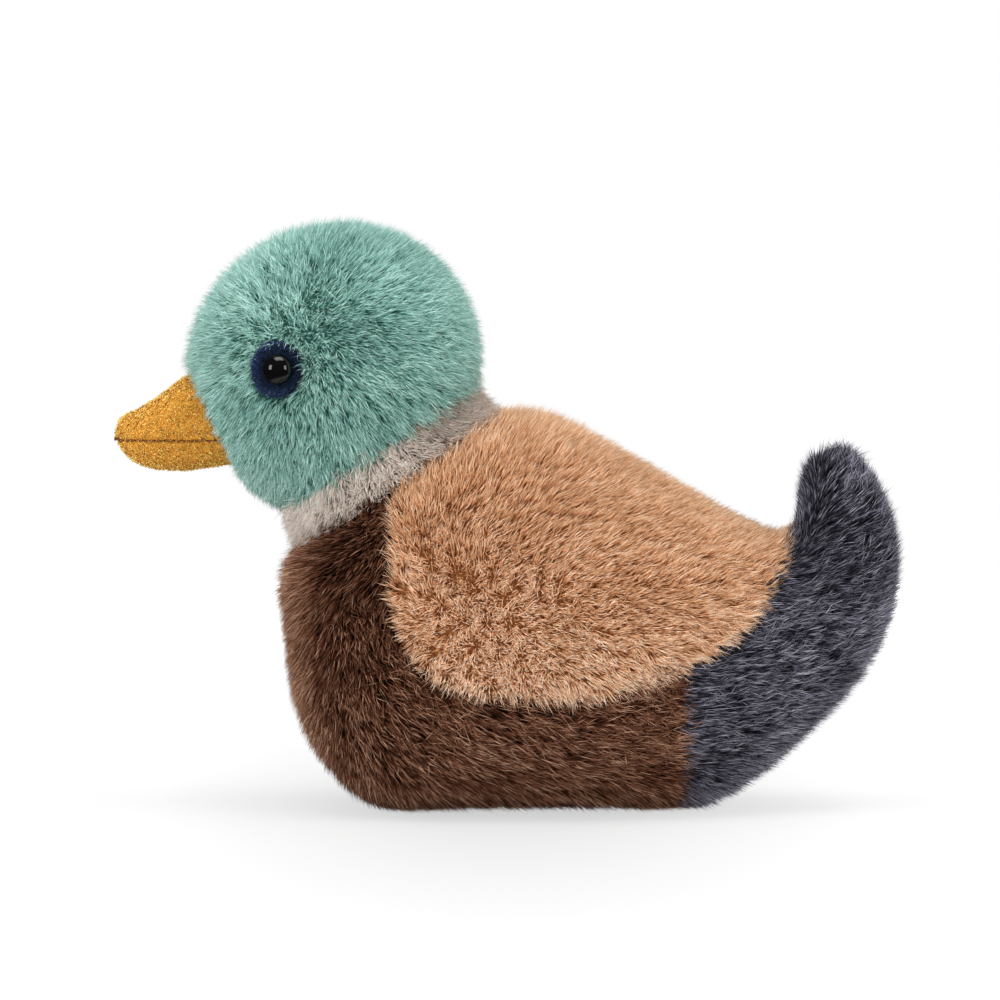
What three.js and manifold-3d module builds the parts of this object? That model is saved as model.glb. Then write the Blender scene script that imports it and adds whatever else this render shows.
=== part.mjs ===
// A small sitting duck, sewn from plush and stuffed, in millimetres.
// It faces -X, its left side is -Y, and it stands on the plane z = 0.
// The skin is cut in panels, each a pile on a knitted backing. The panels meet at seams, and hold
// polyester filling, a bag of pellets that weighs the base, and two eyes locked on by washers.

import * as THREE from 'three';
import { mergeVertices } from 'three/addons/utils/BufferGeometryUtils.js';
import Module from 'manifold-3d';

const wasm = await Module();
wasm.setup();

// Body and tail, one form from the neck to the tip of the tail
const bodyLength = 103;
const bodyHeight = 69.5;
const bodyWidth = 64;
const flatDepth = 0.5;
const bellySquareness = 3.1;
const backSquareness = 2.1;

// Cloth and seams
const plushBacking = 1.0;
const pileDepth = 3.6;
const seamGap = 0.3;
const fillClearance = 0.3;
const wingProud = 0.9;

// Head and neck
const headRadius = 25;
const headRise = 23.2;
const headWidth = 47.6;
const headSetback = 7.8;
const headLift = 74.4;
const headDrop = 16.8;
const neckRadius = 19.2;
const neckShift = 1.3;
const neckTilt = THREE.MathUtils.degToRad(33);
const neckBandWidth = 5.2;
const neckBandBulge = 0.7;
const shoulderSpread = 1.5;

// Beak
const beakLength = 21.1;
const beakHeight = 18;
const beakWidth = 17.2;
const beakRootReach = 15;
const beakTopLift = 0.5;
const beakSeamDrop = 12.5;
const beakCloth = 1.0;
const beakSquareness = 2.3;

// Eyes
const eyeDiameter = 5;
const eyeDome = 2.8;
const eyeForward = 8.9;
const eyeDrop = 0.1;
const eyeTurn = THREE.MathUtils.degToRad(2);
const shankDiameter = 1.9;
const shankLength = 9;
const ridgeDepth = 0.2;
const ridgeCount = 4;
const feltHeight = 9.4;
const feltWidth = 8.2;
const feltThickness = 1.0;
const feltSink = 1.4;
const washerDiameter = 7.4;
const washerThickness = 1.2;

// Bag of pellets in the base
const pouchLength = 38;
const pouchWidth = 30;
const pouchHeight = 11;
const pouchCloth = 0.7;
const pouchSquareness = 3;
const pouchPlaceShare = 0.4;

// Facets
const bodyRings = 33;
const bodySides = 28;
const coreRings = 20;
const coreSides = 18;
const headSides = 28;
const smallSides = 12;

const plushThickness = plushBacking + pileDepth;
const sides = [['left', -1], ['right', 1]];

// Finishes, as they look from a step away
const finish = (color, roughness) => new THREE.MeshStandardMaterial({ color, roughness, metalness: 0 });
const tealPlush = finish(0x7ab3a6, 0.95);
const oatPlush = finish(0xbfa893, 0.95);
const brownPlush = finish(0x50372a, 0.95);
const caramelPlush = finish(0xc29368, 0.95);
const slatePlush = finish(0x4b4a57, 0.95);
const mustardVelour = finish(0xd29a48, 0.9);
const navyFelt = finish(0x26344f, 0.95);
const blackPlastic = finish(0x0b0c0f, 0.1);
const whitePlastic = finish(0xe8e6df, 0.5);
const whiteFilling = finish(0xf1efe9, 1.0);
const pouchCotton = finish(0xd9d3c6, 0.9);

// Closed mesh to solid, and back
function solid(geometry) {
  const bare = geometry.clone();
  bare.deleteAttribute('normal');
  bare.deleteAttribute('uv');
  const merged = mergeVertices(bare);
  const vertProperties = new Float32Array(merged.attributes.position.array);
  const triVerts = new Uint32Array(merged.index.array);
  return new wasm.Manifold(new wasm.Mesh({ numProp: 3, vertProperties, triVerts }));
}

function piece(name, shape, material) {
  const { vertProperties, triVerts } = shape.getMesh();
  const geometry = new THREE.BufferGeometry();
  geometry.setAttribute('position', new THREE.BufferAttribute(vertProperties, 3));
  geometry.setIndex(new THREE.BufferAttribute(triVerts, 1));
  geometry.computeVertexNormals();
  const mesh = new THREE.Mesh(geometry, material);
  mesh.name = name;
  return mesh;
}

// A block that covers all that lies on one side of a plane
const cutReach = 3 * bodyLength;

function halfSpace(direction, point) {
  const block = new THREE.BoxGeometry(cutReach, cutReach, cutReach);
  block.translate(0, 0, cutReach / 2);
  const turn = new THREE.Quaternion().setFromUnitVectors(new THREE.Vector3(0, 0, 1), direction);
  block.applyQuaternion(turn);
  block.translate(point.x, point.y, point.z);
  return solid(block);
}

function sideHalf(sign) {
  return halfSpace(new THREE.Vector3(0, sign, 0), new THREE.Vector3(0, sign * seamGap / 2, 0));
}

// One cross section of a stuffed form: a superellipse between a low point and a high point
function sectionRing(low, high, halfWidth, inset, count, lowSquareness, highSquareness) {
  const middle = low.clone().add(high).multiplyScalar(1 / 2);
  const rise = high.clone().sub(low).multiplyScalar(1 / 2);
  const reach = rise.length() - inset;
  const width = halfWidth - inset;
  rise.normalize();
  const points = [];
  for (let k = 0; k < count; k += 1) {
    const angle = (2 * Math.PI * k) / count;
    const squareness = Math.sin(angle) < 0 ? lowSquareness : highSquareness;
    const across = Math.sign(Math.cos(angle)) * Math.abs(Math.cos(angle)) ** (2 / squareness);
    const along = Math.sign(Math.sin(angle)) * Math.abs(Math.sin(angle)) ** (2 / squareness);
    const point = middle.clone().addScaledVector(rise, along * reach);
    point.y += across * width;
    points.push(point);
  }
  return { points, middle, room: Math.min(reach, width) };
}

// Skin over rings that follow one another towards +X, closed at both ends
function loft(rings) {
  const count = rings[0].points.length;
  const positions = [];
  rings.forEach((ring) => ring.points.forEach((point) => positions.push(...point.toArray())));
  const first = rings.length * count;
  positions.push(...rings[0].middle.toArray(), ...rings[rings.length - 1].middle.toArray());
  const index = [];
  for (let k = 0; k < count; k += 1) {
    const next = (k + 1) % count;
    for (let row = 0; row < rings.length - 1; row += 1) {
      const here = row * count;
      const there = here + count;
      index.push(here + k, here + next, there + k);
      index.push(here + next, there + next, there + k);
    }
    const last = (rings.length - 1) * count;
    index.push(first, next, k);
    index.push(first + 1, last + k, last + next);
  }
  const geometry = new THREE.BufferGeometry();
  geometry.setAttribute('position', new THREE.Float32BufferAttribute(positions, 3));
  geometry.setIndex(index);
  return solid(geometry);
}

// A turned form: its profile runs up from the axis and back to it
function turned(profile, count) {
  const geometry = new THREE.LatheGeometry(profile, count);
  geometry.rotateX(Math.PI / 2);
  return geometry;
}

// Neck: the head stands on it and leans forward with it, and it starts a little before the middle of
// the head
const headCentre = new THREE.Vector3(headSetback, 0, headLift);
const neckAxis = new THREE.Vector3(-Math.sin(neckTilt), 0, Math.cos(neckTilt));
const neckBack = new THREE.Vector3(Math.cos(neckTilt), 0, Math.sin(neckTilt));
const headNarrowing = headWidth / (2 * headRadius);

function neckPoint(drop, reach) {
  return headCentre.clone().addScaledVector(neckAxis, -drop).addScaledVector(neckBack, reach - neckShift);
}

const bandTop = headDrop + seamGap;
const bandFoot = bandTop + neckBandWidth;
const bodyTop = bandFoot + seamGap;

// Body and tail sections, from below the neck to the tip of the tail. Each row has the low point,
// the high point and the half width, in shares of the body's length, height and width.
const bodyShares = [
  [0.000, 0.554, 0.411, 0.948, 0.367],
  [0.002, 0.396, 0.478, 0.910, 0.438],
  [0.020, 0.240, 0.540, 0.865, 0.484],
  [0.070, 0.100, 0.593, 0.822, 0.500],
  [0.142, 0.008, 0.641, 0.781, 0.500],
  [0.290, 0.000, 0.694, 0.735, 0.492],
  [0.463, 0.000, 0.742, 0.697, 0.469],
  [0.627, 0.000, 0.784, 0.671, 0.406],
  [0.738, 0.066, 0.812, 0.668, 0.344],
  [0.843, 0.190, 0.825, 0.712, 0.281],
  [0.931, 0.324, 0.832, 0.760, 0.227],
  [0.985, 0.475, 0.836, 0.806, 0.180],
  [1.000, 0.633, 0.846, 0.841, 0.133],
  [0.978, 0.760, 0.867, 0.868, 0.094],
  [0.942, 0.845, 0.899, 0.880, 0.050],
  [0.919, 0.872, 0.911, 0.881, 0.014],
];

function bodyPoint(lengthShare, heightShare) {
  return new THREE.Vector3(lengthShare * bodyLength, 0, heightShare * bodyHeight - flatDepth);
}

// The half width rides along as the y of the low line
function bodyLines() {
  const shoulder = neckRadius + shoulderSpread;
  const low = [neckPoint(headDrop, -neckRadius), neckPoint(bodyTop, -shoulder)];
  const high = [neckPoint(headDrop, neckRadius), neckPoint(bodyTop, shoulder)];
  low.forEach((point) => point.setY(shoulder * headNarrowing));
  bodyShares.forEach(([lowX, lowZ, highX, highZ, width]) => {
    low.push(bodyPoint(lowX, lowZ).setY(width * bodyWidth));
    high.push(bodyPoint(highX, highZ));
  });
  return [new THREE.CatmullRomCurve3(low), new THREE.CatmullRomCurve3(high)];
}

const [lowLine, highLine] = bodyLines();

function bodyForm(inset, ringCount, sideCount) {
  const rings = [];
  for (let row = 0; row <= ringCount; row += 1) {
    const low = lowLine.getPoint(row / ringCount);
    const high = highLine.getPoint(row / ringCount);
    const halfWidth = low.y;
    low.y = 0;
    rings.push(sectionRing(low, high, halfWidth, inset, sideCount, bellySquareness, backSquareness));
  }
  return loft(rings.filter((ring) => ring.room > Math.max(0, inset) / 4));
}

// Moves a form round the neck's axis forward, by more the nearer it is to the neck
function leanForward(geometry) {
  const { position } = geometry.attributes;
  for (let k = 0; k < position.count; k += 1) {
    const share = Math.min(1, Math.max(0, -position.getZ(k)) / headDrop);
    position.setX(k, position.getX(k) - neckShift * share * share);
  }
}

// Head form, centred on its widest place: a dome above, and below it a longer curve to the neck
const profileSteps = 8;

function headForm(inset, foot) {
  const radius = headRadius - inset;
  const rise = headRise - inset;
  const neck = neckRadius - inset;
  const start = Math.acos(neck / radius);
  const lowerReach = headDrop / Math.sin(start);
  const profile = [new THREE.Vector2(0, -foot)];
  if (foot > headDrop) profile.push(new THREE.Vector2(neck, -foot));
  for (let step = 0; step <= profileSteps; step += 1) {
    const angle = -start * (1 - step / profileSteps);
    profile.push(new THREE.Vector2(radius * Math.cos(angle), lowerReach * Math.sin(angle)));
  }
  for (let step = 1; step < profileSteps; step += 1) {
    const angle = (Math.PI / 2) * (step / profileSteps);
    profile.push(new THREE.Vector2(radius * Math.cos(angle), rise * Math.sin(angle)));
  }
  profile.push(new THREE.Vector2(0, rise));
  const geometry = turned(profile, inset > 0 ? coreSides : headSides);
  geometry.scale(1, (headWidth / 2 - inset) / radius, 1);
  leanForward(geometry);
  geometry.rotateY(-neckTilt);
  return solid(geometry);
}

// Beak sections from the tip to the root: reach, top, bottom and half width, in shares of the
// beak's length, height, height and width. The top is counted down from the beak's highest line.
const beakShares = [
  [1.000, 0.640, 0.690, 0.060],
  [0.985, 0.580, 0.745, 0.160],
  [0.945, 0.525, 0.830, 0.280],
  [0.850, 0.470, 0.930, 0.390],
  [0.690, 0.365, 0.990, 0.450],
  [0.460, 0.155, 1.000, 0.480],
  [0.230, 0.045, 0.965, 0.495],
  [0.000, 0.000, 0.930, 0.500],
];

function beakForm(inset) {
  const rings = beakShares.map(([reach, top, bottom, width]) => {
    const x = -beakRootReach - reach * beakLength;
    const low = new THREE.Vector3(x, 0, beakTopLift - bottom * beakHeight);
    const high = new THREE.Vector3(x, 0, beakTopLift - top * beakHeight);
    const halfWidth = width * beakWidth;
    return sectionRing(low, high, halfWidth, inset, coreSides, beakSquareness, beakSquareness);
  });
  return loft(rings.filter((ring) => ring.room > Math.max(0, inset) / 4));
}

// Eyes: each stands on the side of the head, and looks out to that side and a little forward
const eyeSpread = Math.sqrt(headRadius ** 2 - eyeForward ** 2 - eyeDrop ** 2) * headNarrowing;

function eyePlace(sign) {
  const place = new THREE.Vector3(-eyeForward, sign * eyeSpread, -eyeDrop);
  const outward = new THREE.Vector3(-Math.sin(eyeTurn), sign * Math.cos(eyeTurn), 0);
  const across = new THREE.Vector3(0, 0, 1).cross(outward).normalize();
  const upward = outward.clone().cross(across);
  return new THREE.Matrix4().makeBasis(across, upward, outward).setPosition(place);
}

// Height of each layer above the surface of the pile, along the eye's own axis
const feltTop = -feltSink;
const feltFoot = feltTop - feltThickness;
const beadFoot = feltTop + seamGap;
const washerTop = -plushThickness - seamGap;
const shankRadius = shankDiameter / 2;
const shankHole = shankRadius + ridgeDepth + seamGap;

function disc(radius, low, high, count) {
  const geometry = new THREE.CylinderGeometry(radius, radius, high - low, count);
  geometry.rotateX(Math.PI / 2);
  geometry.translate(0, 0, (low + high) / 2);
  return geometry;
}

function feltDisc(growth, low, high) {
  const geometry = disc(feltHeight / 2 + growth, low, high, headSides);
  geometry.scale((feltWidth / 2 + growth) / (feltHeight / 2 + growth), 1, 1);
  return geometry;
}

// What an eye needs cut out of the layers that it passes through
function eyeRoom(sign) {
  const wellTop = plushThickness;
  const felt = feltDisc(seamGap, feltFoot - seamGap, wellTop);
  const shank = disc(shankHole, beadFoot - shankLength - seamGap, wellTop, smallSides);
  const washer = disc(washerDiameter / 2 + seamGap, washerTop - washerThickness - seamGap,
    washerTop + seamGap, headSides);
  const rooms = [felt, shank, washer].map((geometry) => solid(geometry.applyMatrix4(eyePlace(sign))));
  return rooms[0].add(rooms[1]).add(rooms[2]);
}

const beadSteps = 3;
const beadSides = 20;

function eyeBead() {
  const radius = eyeDiameter / 2;
  const waist = eyeDome / 3;
  const profile = [new THREE.Vector2(0, -shankLength)];
  const ridgeStep = shankLength / (2 * ridgeCount + 1);
  for (let ridge = 0; ridge <= ridgeCount; ridge += 1) {
    const height = -shankLength + 2 * ridge * ridgeStep;
    profile.push(new THREE.Vector2(shankRadius, height));
    if (ridge < ridgeCount) profile.push(new THREE.Vector2(shankRadius + ridgeDepth, height + ridgeStep));
  }
  profile.push(new THREE.Vector2(shankRadius, 0));
  const flange = (radius + shankRadius) / 2;
  for (let step = 0; step < beadSteps; step += 1) {
    const angle = (Math.PI / 2) * (step / beadSteps - 1);
    const out = flange + (radius - flange) * Math.cos(angle);
    profile.push(new THREE.Vector2(out, waist * (1 + Math.sin(angle))));
  }
  for (let step = 0; step < 2 * beadSteps; step += 1) {
    const angle = (Math.PI / 2) * (step / (2 * beadSteps));
    profile.push(new THREE.Vector2(radius * Math.cos(angle), waist + (eyeDome - waist) * Math.sin(angle)));
  }
  profile.push(new THREE.Vector2(0, eyeDome));
  const geometry = turned(profile, beadSides);
  geometry.translate(0, 0, beadFoot);
  return solid(geometry);
}

function eyeWasher() {
  const ring = solid(disc(washerDiameter / 2, washerTop - washerThickness, washerTop, headSides));
  return ring.subtract(solid(disc(shankHole, washerTop - cutReach, washerTop + cutReach, smallSides)));
}

function eyeBacking() {
  const oval = solid(feltDisc(0, feltFoot, feltTop));
  return oval.subtract(solid(disc(shankHole, feltFoot - cutReach, feltTop + cutReach, smallSides)));
}

// Head group: its origin is the middle of the head
function buildHead() {
  const head = new THREE.Group();
  head.position.copy(headCentre);
  const openFoot = bodyTop + plushThickness;
  const rooms = sides.map(([, sign]) => eyeRoom(sign));
  const beakSeat = headForm(pileDepth, headDrop);
  const skin = headForm(0, headDrop)
    .subtract(headForm(plushThickness, openFoot))
    .subtract(beakForm(-seamGap).subtract(beakSeat))
    .subtract(rooms[0])
    .subtract(rooms[1]);
  const filling = headForm(plushThickness + fillClearance, bandFoot)
    .subtract(rooms[0])
    .subtract(rooms[1]);
  head.add(piece('head_stuffing', filling, whiteFilling));
  sides.forEach(([side, sign]) => {
    head.add(piece(`head_panel_${side}`, skin.intersect(sideHalf(sign)), tealPlush));
    [['eye', eyeBead(), blackPlastic],
      ['eye_washer', eyeWasher(), whitePlastic],
      ['eye_backing', eyeBacking(), navyFelt]].forEach(([name, shape, material]) => {
      const part = piece(`${name}_${side}`, shape, material);
      part.applyMatrix4(eyePlace(sign));
      head.add(part);
    });
  });
  buildBeak(head);
  head.add(piece('neck_band', neckBand(), oatPlush));
  return head;
}

// The beak is two pieces of velour, seamed level along its sides and sewn to the head's backing
function buildBeak(head) {
  const headFace = headForm(pileDepth - seamGap, headDrop);
  const seamPoint = new THREE.Vector3(0, 0, -beakSeamDrop);
  const up = new THREE.Vector3(0, 0, 1);
  const skin = beakForm(0).subtract(beakForm(beakCloth)).subtract(headFace);
  const half = up.clone().multiplyScalar(seamGap / 2);
  const above = halfSpace(up, seamPoint.clone().add(half));
  const below = halfSpace(up.clone().negate(), seamPoint.clone().sub(half));
  head.add(piece('beak_upper', skin.intersect(above), mustardVelour));
  head.add(piece('beak_lower', skin.intersect(below), mustardVelour));
  const filling = beakForm(beakCloth + fillClearance).subtract(headFace);
  head.add(piece('beak_stuffing', filling, whiteFilling));
}

// The band is a strip closed into a ring, with the seam of its ends at the nape
const bandSteps = 4;

function neckBand() {
  const profile = [];
  const inner = neckRadius - plushThickness;
  for (let step = 0; step <= bandSteps; step += 1) {
    const share = step / bandSteps;
    const bulge = neckBandBulge * Math.sin(Math.PI * share);
    profile.push(new THREE.Vector2(neckRadius + bulge, -bandFoot + share * neckBandWidth));
  }
  profile.push(new THREE.Vector2(inner, -bandTop));
  profile.push(new THREE.Vector2(inner, -bandFoot));
  profile.push(profile[0].clone());
  const geometry = turned(profile, headSides);
  geometry.scale(1, headNarrowing, 1);
  leanForward(geometry);
  const endSeam = new THREE.BoxGeometry(cutReach, seamGap, cutReach);
  endSeam.translate(cutReach / 2, 0, 0);
  const band = solid(geometry).subtract(solid(endSeam));
  const turn = new THREE.Matrix4().makeRotationY(-neckTilt);
  return band.transform(turn.toArray());
}

// Wing outline on the body's side, from the neck round the lower edge to the root of the tail
const wingShares = [
  [0.178, 0.760],
  [0.172, 0.590],
  [0.188, 0.474],
  [0.232, 0.362],
  [0.309, 0.314],
  [0.415, 0.297],
  [0.529, 0.308],
  [0.622, 0.356],
  [0.712, 0.426],
  [0.772, 0.520],
  [0.800, 0.610],
  [0.814, 0.700],
];
const wingSteps = 26;
const wingTopShare = 1.4;
const tailSeamShare = 0.645;

function wingColumn(growth) {
  const edge = new THREE.SplineCurve(wingShares.map(([lengthShare, heightShare]) => {
    const point = bodyPoint(lengthShare, heightShare);
    return new THREE.Vector2(point.x, point.z);
  }));
  const outline = [];
  for (let step = 0; step <= wingSteps; step += 1) {
    const point = edge.getPoint(step / wingSteps);
    const along = edge.getTangent(step / wingSteps);
    outline.push(new THREE.Vector2(point.x + along.y * growth, point.y - along.x * growth));
  }
  outline.push(new THREE.Vector2(outline[wingSteps].x, wingTopShare * bodyHeight));
  outline.push(new THREE.Vector2(outline[0].x, wingTopShare * bodyHeight));
  const geometry = new THREE.ExtrudeGeometry(new THREE.Shape(outline),
    { depth: cutReach, bevelEnabled: false });
  geometry.translate(0, 0, -cutReach / 2);
  geometry.rotateX(Math.PI / 2);
  return solid(geometry);
}

// The base is an oval under the body, between the breast and the tail seam
const baseMiddleShare = 0.395;
const baseLengthShare = 0.46;
const baseWidthShare = 0.62;

function baseColumn(growth) {
  const length = (baseLengthShare * bodyLength) / 2 + growth;
  const width = (baseWidthShare * bodyWidth) / 2 + growth;
  const geometry = disc(length, -cutReach, 2 * plushThickness, headSides);
  geometry.scale(1, width / length, 1);
  geometry.translate(baseMiddleShare * bodyLength, 0, 0);
  return solid(geometry);
}

// Bag of pellets, lying on the inside of the base
const pouchFloor = plushThickness - flatDepth + fillClearance;

function pouchForm(inset) {
  const radius = pouchLength / 2 - inset;
  const half = pouchHeight / 2 - inset;
  const profile = [new THREE.Vector2(0, -half)];
  for (let step = 1; step < 2 * profileSteps; step += 1) {
    const angle = (Math.PI / 2) * (step / profileSteps - 1);
    const out = Math.cos(angle) ** (2 / pouchSquareness);
    const up = Math.sign(angle) * Math.abs(Math.sin(angle)) ** (2 / pouchSquareness);
    profile.push(new THREE.Vector2(radius * out, half * up));
  }
  profile.push(new THREE.Vector2(0, half));
  const geometry = turned(profile, coreSides);
  geometry.scale(1, (pouchWidth / 2 - inset) / radius, 1);
  geometry.translate(pouchPlaceShare * bodyLength, 0, pouchFloor + pouchHeight / 2);
  return solid(geometry);
}

// The bag lies under the filling, which is open to the base there
function pouchRoom() {
  const length = pouchLength / 2 + fillClearance;
  const well = disc(length, -cutReach, pouchFloor + pouchHeight / 2, coreSides);
  well.scale(1, (pouchWidth / 2 + fillClearance) / length, 1);
  well.translate(pouchPlaceShare * bodyLength, 0, 0);
  return pouchForm(-fillClearance).add(solid(well));
}

function buildPouch(body) {
  const cloth = pouchForm(0).subtract(pouchForm(pouchCloth));
  const middle = new THREE.Vector3(0, 0, pouchFloor + pouchHeight / 2);
  const up = new THREE.Vector3(0, 0, 1);
  const half = up.clone().multiplyScalar(seamGap / 2);
  const above = halfSpace(up, middle.clone().add(half));
  const below = halfSpace(up.clone().negate(), middle.clone().sub(half));
  body.add(piece('pellet_pouch_upper', cloth.intersect(above), pouchCotton));
  body.add(piece('pellet_pouch_lower', cloth.intersect(below), pouchCotton));
  body.add(piece('pellets', pouchForm(pouchCloth + fillClearance), whitePlastic));
}

// Body group: breast, base, wings and tail
function buildBody() {
  const body = new THREE.Group();
  const up = new THREE.Vector3(0, 0, 1);
  const back = new THREE.Vector3(1, 0, 0);
  const aboveNeck = halfSpace(neckAxis, neckPoint(bodyTop, 0));
  const underTable = halfSpace(up.clone().negate(), new THREE.Vector3());
  const tailSeam = new THREE.Vector3(tailSeamShare * bodyLength, 0, 0);
  const half = back.clone().multiplyScalar(seamGap / 2);
  const behindSeam = halfSpace(back, tailSeam.clone().add(half));
  const beforeSeam = halfSpace(back.clone().negate(), tailSeam.clone().sub(half));

  const hollow = bodyForm(plushThickness, coreRings, coreSides);
  const skin = bodyForm(0, bodyRings, bodySides).subtract(hollow).subtract(underTable);
  const wingSkin = bodyForm(-wingProud, bodyRings, bodySides).subtract(hollow);
  const aroundWing = skin.subtract(wingColumn(seamGap)).subtract(aboveNeck);
  const breast = aroundWing.intersect(beforeSeam).subtract(baseColumn(seamGap));
  const tail = aroundWing.intersect(behindSeam);
  const wing = wingSkin.intersect(wingColumn(0)).subtract(aboveNeck);
  sides.forEach(([side, sign]) => {
    const flank = sideHalf(sign);
    body.add(piece(`breast_panel_${side}`, breast.intersect(flank), brownPlush));
    body.add(piece(`wing_panel_${side}`, wing.intersect(flank), caramelPlush));
    body.add(piece(`tail_panel_${side}`, tail.intersect(flank), slatePlush));
  });
  body.add(piece('base_panel', skin.intersect(baseColumn(0)).intersect(beforeSeam), brownPlush));

  const filling = bodyForm(plushThickness + fillClearance, coreRings, coreSides);
  const bodyFilling = filling
    .intersect(beforeSeam)
    .subtract(aboveNeck)
    .subtract(pouchRoom());
  body.add(piece('body_stuffing', bodyFilling, whiteFilling));
  body.add(piece('tail_stuffing', filling.intersect(behindSeam), whiteFilling));
  buildPouch(body);
  return body;
}

// The origin is on the table, under the middle of the duck's length
const duck = new THREE.Group();
duck.add(buildBody(), buildHead());
const bounds = new THREE.Box3().setFromObject(duck);
duck.position.x = -(bounds.min.x + bounds.max.x) / 2;

export default duck;
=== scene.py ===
import math

import bpy
import numpy as np
from mathutils import Matrix, Vector
from mathutils.bvhtree import BVHTree
from mathutils.kdtree import KDTree


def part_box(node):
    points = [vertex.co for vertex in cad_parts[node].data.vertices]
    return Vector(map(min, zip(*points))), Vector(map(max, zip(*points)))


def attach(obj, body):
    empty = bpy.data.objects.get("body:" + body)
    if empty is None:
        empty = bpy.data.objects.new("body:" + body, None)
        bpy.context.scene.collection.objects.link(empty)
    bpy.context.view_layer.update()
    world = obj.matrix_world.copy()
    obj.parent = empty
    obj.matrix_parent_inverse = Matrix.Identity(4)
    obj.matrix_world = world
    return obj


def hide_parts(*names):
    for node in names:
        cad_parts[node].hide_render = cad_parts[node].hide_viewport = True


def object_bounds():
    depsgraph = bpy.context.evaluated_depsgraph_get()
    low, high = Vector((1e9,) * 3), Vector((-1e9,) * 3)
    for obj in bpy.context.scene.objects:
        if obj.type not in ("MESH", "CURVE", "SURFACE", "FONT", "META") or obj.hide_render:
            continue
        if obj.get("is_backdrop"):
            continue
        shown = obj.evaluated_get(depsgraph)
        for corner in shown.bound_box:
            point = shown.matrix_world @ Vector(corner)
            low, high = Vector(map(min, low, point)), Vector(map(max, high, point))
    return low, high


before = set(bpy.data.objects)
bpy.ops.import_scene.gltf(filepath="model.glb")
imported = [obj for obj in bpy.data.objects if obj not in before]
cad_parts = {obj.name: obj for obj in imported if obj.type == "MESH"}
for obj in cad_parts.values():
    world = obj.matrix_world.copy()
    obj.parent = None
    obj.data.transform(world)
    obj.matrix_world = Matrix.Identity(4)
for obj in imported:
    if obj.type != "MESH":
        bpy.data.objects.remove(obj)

cad_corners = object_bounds()
MM = 0.001

# Table, light and camera.
# The duck stands on a white table in a white room, under a wide soft light overhead and a softer
# one at each side of the camera, which looks at its left side through a long lens.
camera_distance = 1.25
camera_rise = math.radians(3.0)
picture_width = 0.168
film_width = 36
aim = Vector((-1.45 * MM, 0, 51.6 * MM))


def soft_light(name, place, size, radiance):
    """A rectangular lamp of this size in metres, turned to the duck."""
    data = bpy.data.lights.new(name, "AREA")
    data.shape = "RECTANGLE"
    data.size, data.size_y = size
    data.energy = radiance * math.pi * size[0] * size[1]
    lamp = bpy.data.objects.new(name, data)
    bpy.context.scene.collection.objects.link(lamp)
    lamp.location = place
    lamp.rotation_euler = (aim - Vector(place)).to_track_quat("-Z", "Y").to_euler()


soft_light("overhead_light", (0.06, -0.16, 0.95), (0.72, 0.56), 3.0)
soft_light("left_light", (-1.10, -1.02, 0.40), (0.50, 0.66), 4.3)
soft_light("right_light", (1.12, -0.98, 0.38), (0.42, 0.62), 4.1)


def feed(net, node, inputs):
    """Gives each of these inputs of a node, by label or number, a link or a value."""
    for key, value in inputs.items():
        if isinstance(value, bpy.types.NodeSocket):
            net.links.new(value, node.inputs[key])
        else:
            node.inputs[key].default_value = value
    return node


def add_node(net, kind, inputs, **settings):
    """A new node of this kind with these settings and inputs."""
    node = net.nodes.new(f"ShaderNode{kind}")
    for key, value in settings.items():
        setattr(node, key, value)
    return feed(net, node, inputs)


def mapped(net, source, start, end, to_start=0.0, to_end=1.0):
    """A source's value taken from one range to another and held inside it."""
    inputs = {"Value": source, "From Min": start, "From Max": end, "To Min": to_start, "To Max": to_end}
    return add_node(net, "MapRange", inputs).outputs["Result"]


# The room is white to the camera, a little dimmer as a light, and nearly dark in the duck's gloss
room_strength = 0.8
room_in_gloss = 0.04
world = bpy.data.worlds.new("white_room")
bpy.context.scene.world = world
world.use_nodes = True
room = world.node_tree
seen = add_node(room, "LightPath", {})
dim = mapped(room, seen.outputs["Is Glossy Ray"], 0, 1, room_strength, room_in_gloss)
glow = add_node(room, "Mix", {"Factor": seen.outputs["Is Camera Ray"], "A": dim, "B": 1.0})
feed(room, room.nodes["Background"], {"Color": (1, 1, 1, 1), "Strength": glow.outputs["Result"]})

# The table glows to the camera, a little less round the duck's foot, and shows white with a soft
# shadow: the dip in its glow there is a painted shadow, laid over the real one on its grey shading.
# The duck's gloss mirrors it grey near the foot and dark beyond, and any other light bounces off it as
# off white paint.
table_width = 1.2
shadowed_grey = 0.20
glow_in_painted_shadow = 0.62
glow_high = 0.80
painted_shadow_start = 0.025
painted_shadow_end = 0.115
painted_shadow_squeeze = (1.9, 0.5, 1)
edge_start = 0.25
edge_end = 0.50
edge_glow = 0.3
paint_white = 0.8
gloss_start = 0.07
gloss_end = 0.10
gloss_near = 0.4
gloss_far = 0.02
bpy.ops.object.select_all(action="DESELECT")
bpy.ops.mesh.primitive_plane_add(size=table_width, location=(0, 0, 0))
table = bpy.context.object
table.name = "table"
paint = bpy.data.materials.new("white_table")
paint.use_nodes = True
net = paint.node_tree
net.nodes.remove(net.nodes["Principled BSDF"])
here = add_node(net, "TexCoord", {}).outputs["Object"]
squeezed = add_node(net, "VectorMath", {0: here, 1: painted_shadow_squeeze}, operation="MULTIPLY").outputs["Vector"]
around = add_node(net, "VectorMath", {0: squeezed}, operation="LENGTH").outputs["Value"]
far = add_node(net, "VectorMath", {0: here}, operation="LENGTH").outputs["Value"]
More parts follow.
